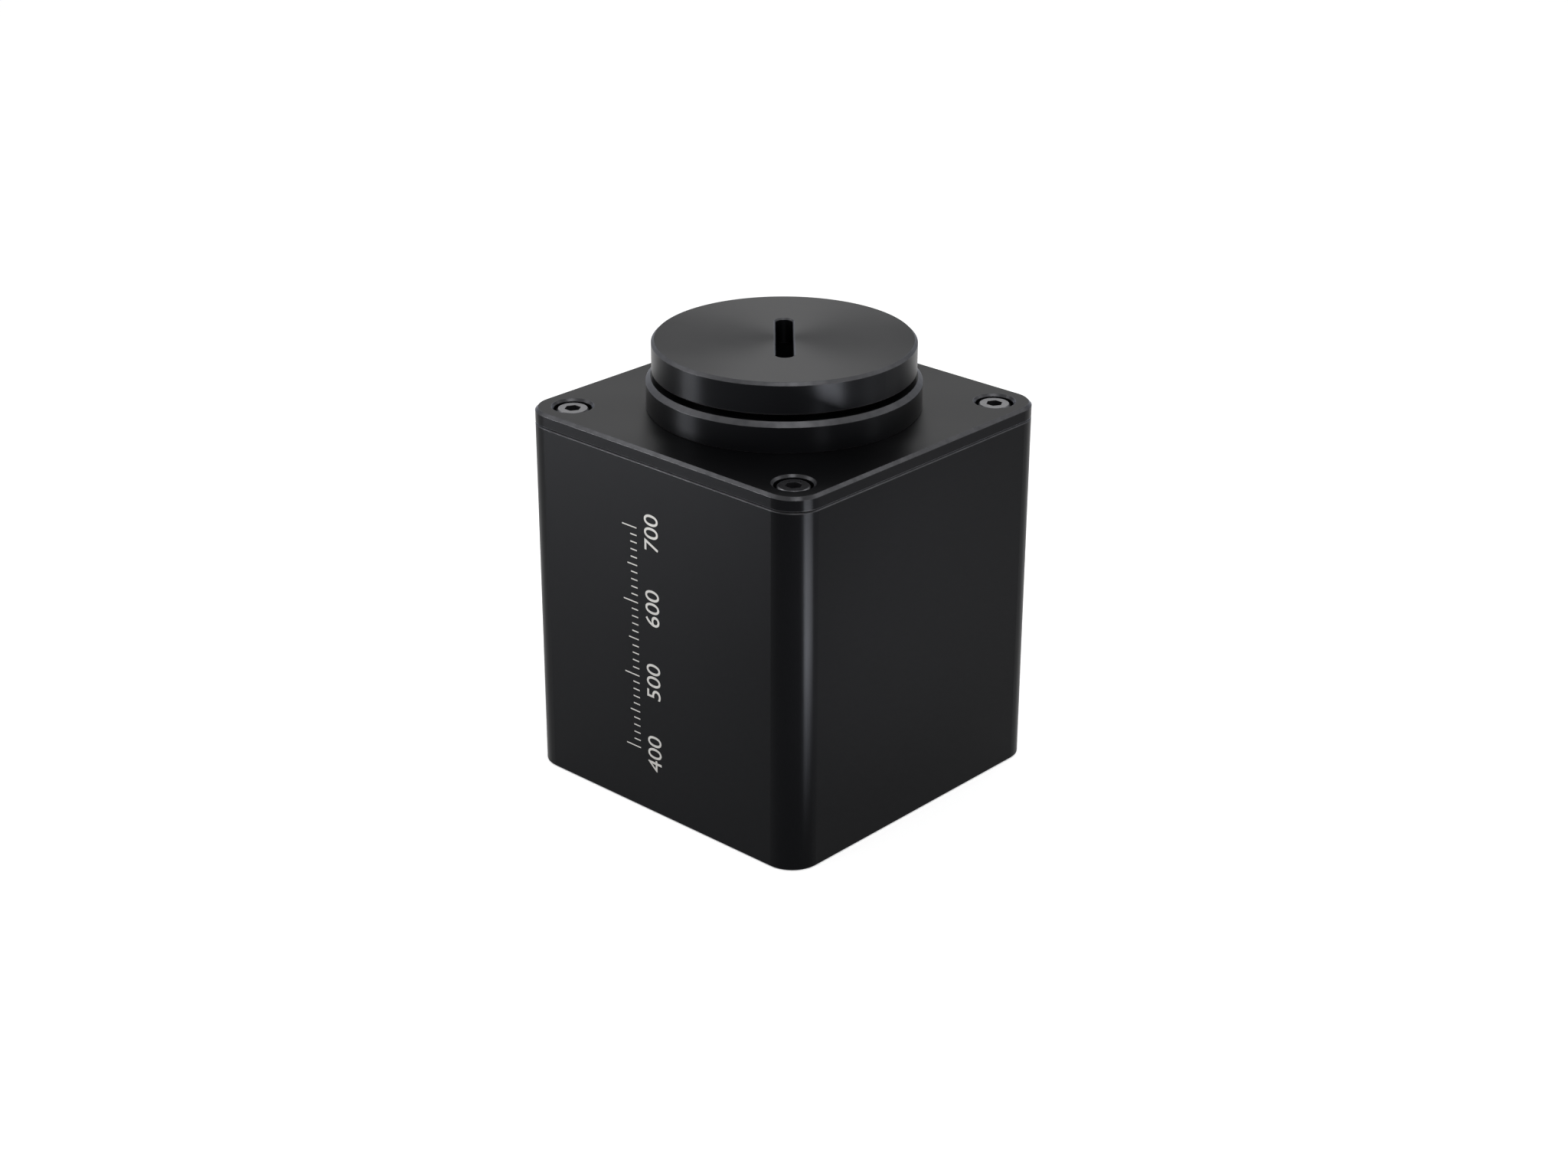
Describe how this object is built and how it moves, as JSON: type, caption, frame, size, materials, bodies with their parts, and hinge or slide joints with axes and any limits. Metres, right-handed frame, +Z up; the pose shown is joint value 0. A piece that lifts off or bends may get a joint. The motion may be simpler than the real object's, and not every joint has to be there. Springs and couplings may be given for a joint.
{
  "type": "lighting spectrometer",
  "caption": "Square black metal light-measuring spectrometer with a screwed lid, a collar and a round slotted cap that turns and lifts off a diffuser.",
  "frame": {"origin": "middle of the square underside", "axes": "+Z up through the middle of the slotted cap, -Y out of the face that the marking is on, +X out of the face to its right"},
  "size_m": [0.063, 0.063, 0.0788],
  "materials": {
    "housing_alu": "fine-blasted, black anodised",
    "lid_alu": "fine-blasted, black anodised",
    "cap_alu": "turned, blasted and black anodised",
    "inner_alu": "dull black anodised",
    "black_steel": "black oxide, satin",
    "bright_steel": "plain, satin",
    "seal_rubber": "greased, dull",
    "opal_white": "opal white, dull",
    "board_green": "green solder mask",
    "chip_black": "moulded, dull",
    "spacer_brass": "turned",
    "optic_mirror": "coated glass",
    "sensor_grey": "smooth package",
    "window_glass": "clear, polished",
    "ribbon_white": "smooth film"
  },
  "bodies": {
    "instrument": {"housing": "housing_alu", "lid": "lid_alu", "lid_gasket": "seal_rubber", "lid_screws": "black_steel", "collar": "cap_alu", "collar_screws": "bright_steel", "diffuser": "opal_white", "diffuser_ring": "inner_alu", "ring_screws": "black_steel", "base_plate": "lid_alu", "base_screws": "black_steel", "tripod_bush": "bright_steel", "main_board": "board_green", "board_chips": "chip_black", "board_standoffs": "spacer_brass", "board_screws": "bright_steel", "usb_shell": "bright_steel", "usb_tongue": "chip_black", "optical_bench": "inner_alu", "bench_screws": "bright_steel", "bench_cover": "inner_alu", "cover_screws": "bright_steel", "light_baffle": "inner_alu", "slit_plate": "black_steel", "slit_ring": "inner_alu", "collimating_mirror": "optic_mirror", "collimator_mount": "inner_alu", "grating": "optic_mirror", "grating_mount": "inner_alu", "focusing_mirror": "optic_mirror", "focuser_mount": "inner_alu", "mount_screws": "bright_steel", "line_sensor": "sensor_grey", "sensor_window": "window_glass", "sensor_board": "board_green", "sensor_screws": "bright_steel", "ribbon_sockets": "ribbon_white", "ribbon_cable": "ribbon_white"},
    "seal": {"cap_seal_ring": "seal_rubber"},
    "cap": {"aperture_cap": "cap_alu"}
  },
  "joints": [
    {"name": "cap_lift", "type": "slide", "parent": "instrument", "child": "seal", "axis": [0, 0, 1], "range_m": [0, 0.015]},
    {"name": "cap_turn", "type": "hinge", "parent": "seal", "child": "cap", "pos_m": [0, 0, 0.0753], "axis": [0, 0, 1], "continuous": true}
  ]
}
